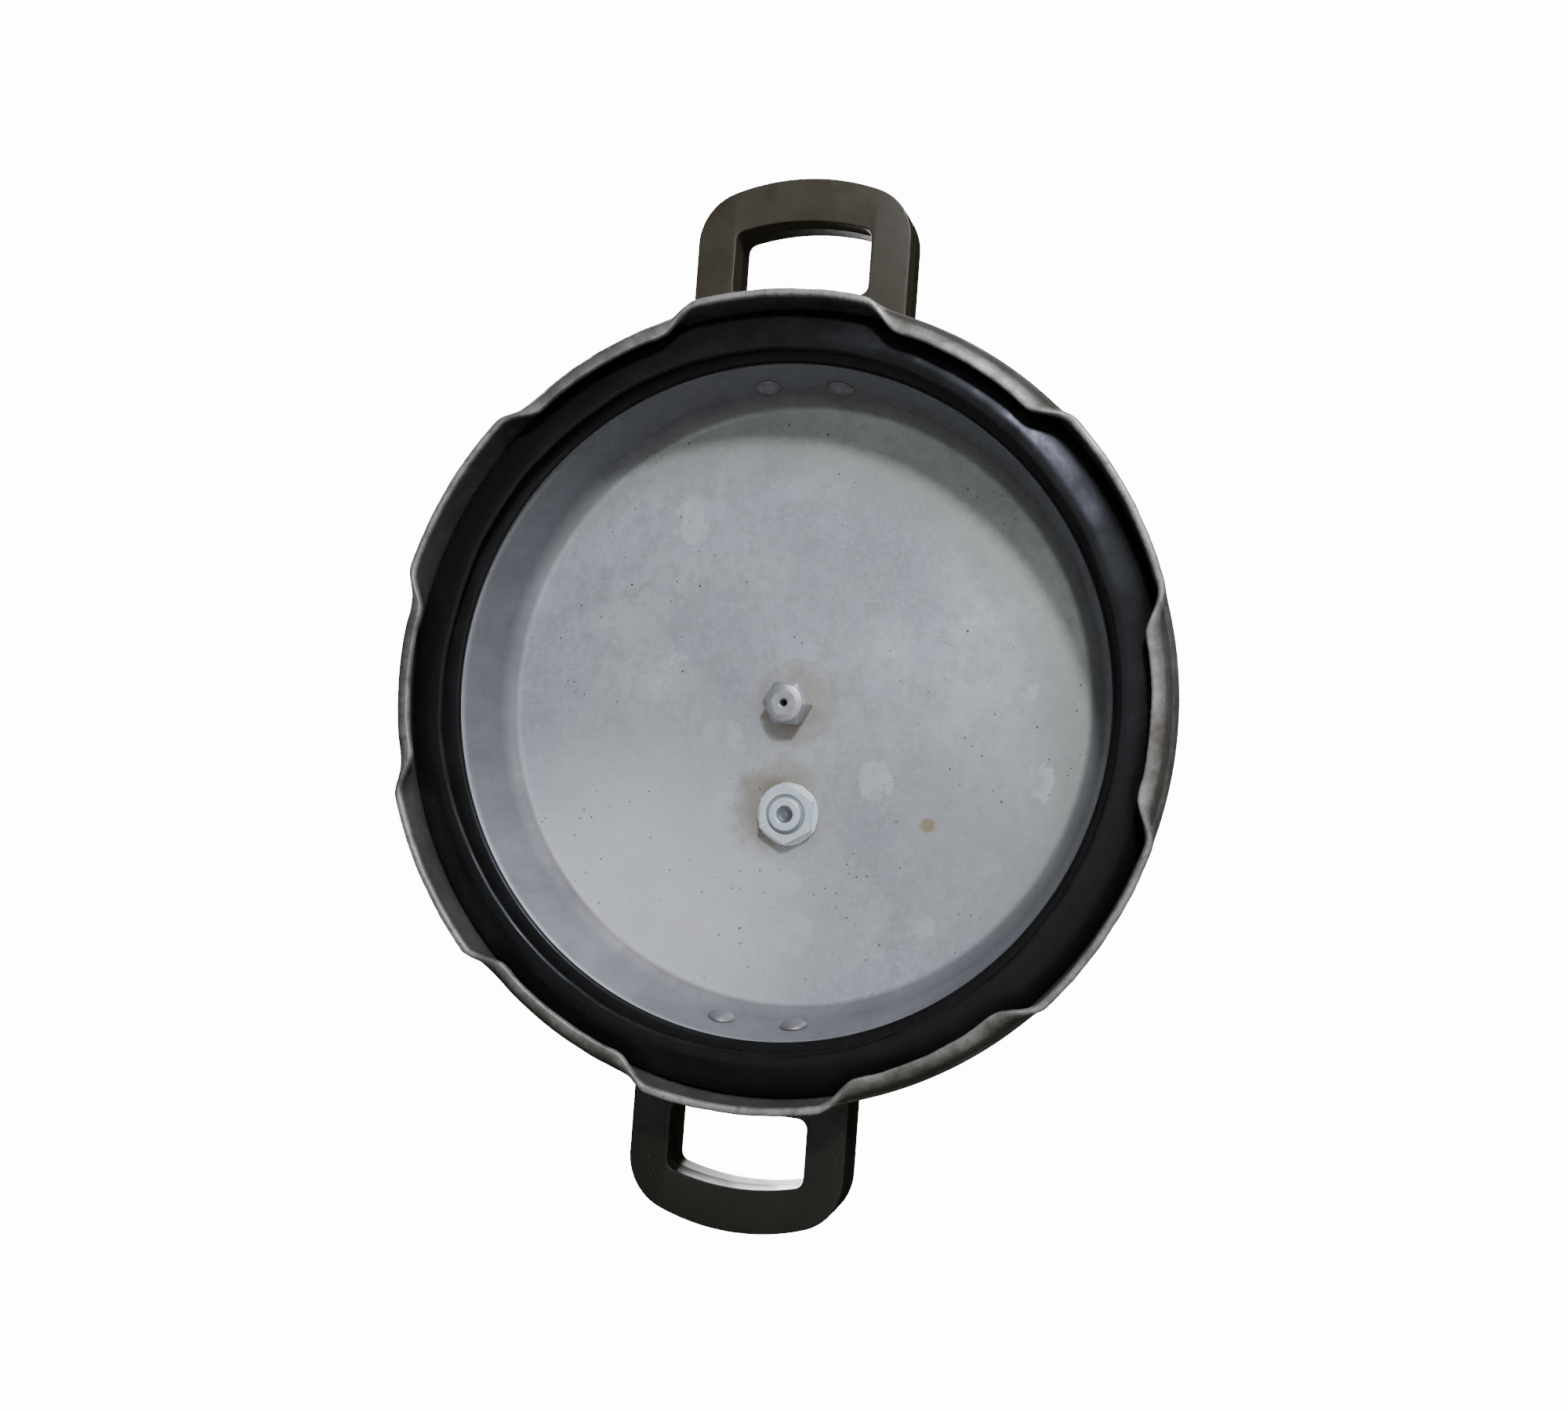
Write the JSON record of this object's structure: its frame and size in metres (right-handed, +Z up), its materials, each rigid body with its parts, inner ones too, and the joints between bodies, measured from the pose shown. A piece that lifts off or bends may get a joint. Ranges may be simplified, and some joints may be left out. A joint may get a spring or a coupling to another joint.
{
  "type": "pressure cooker lid",
  "caption": "Round aluminium pressure cooker lid with bayonet lugs, rubber sealing ring, vent with lift-off weight, safety plug and two loop handles.",
  "frame": {"origin": "centre of the rim plane, on the lid's axis, in the lid's in-use attitude", "axes": "+X through the two handles towards the front handle, +Y to the left, +Z up out of the top of the lid"},
  "size_m": [0.424, 0.32, 0.1013],
  "materials": {
    "aluminium_sheet": "pressed sheet, matte and water-stained inside, worn bright at the rim",
    "rubber_seal": "black rubber, satin",
    "turned_aluminium": "turned, slightly dull",
    "steel": "bright steel",
    "zinc_plated_steel": "bright zinc plate, scuffed",
    "fusible_alloy": "dull cast grey",
    "phenolic": "dark brown-black moulded phenolic, low sheen"
  },
  "bodies": {
    "lid": {"lid_shell": "aluminium_sheet", "sealing_gasket": "rubber_seal", "vent_tube": "turned_aluminium", "vent_washer": "steel", "vent_nut": "turned_aluminium", "plug_body": "zinc_plated_steel", "plug_alloy": "fusible_alloy", "plug_washer": "zinc_plated_steel", "plug_nut": "zinc_plated_steel", "front_handle": "phenolic", "front_bracket": "steel", "front_rivet_right": "turned_aluminium", "front_screw_right": "steel", "front_screw_nut_right": "steel", "front_rivet_left": "turned_aluminium", "front_screw_left": "steel", "front_screw_nut_left": "steel", "rear_handle": "phenolic", "rear_bracket": "steel", "rear_rivet_right": "turned_aluminium", "rear_screw_right": "steel", "rear_screw_nut_right": "steel", "rear_rivet_left": "turned_aluminium", "rear_screw_left": "steel", "rear_screw_nut_left": "steel"},
    "valve_needle": {"weight_needle": "steel"},
    "weight": {"weight_body": "steel", "weight_cap": "phenolic", "weight_screw": "steel"}
  },
  "joints": [
    {"name": "weight_lift", "type": "slide", "parent": "lid", "child": "valve_needle", "axis": [0, 0, 1], "range_m": [0, 0.016]},
    {"name": "weight_spin", "type": "hinge", "parent": "valve_needle", "child": "weight", "pos_m": [0, 0, 0.0805], "axis": [0, 0, 1], "continuous": true}
  ]
}
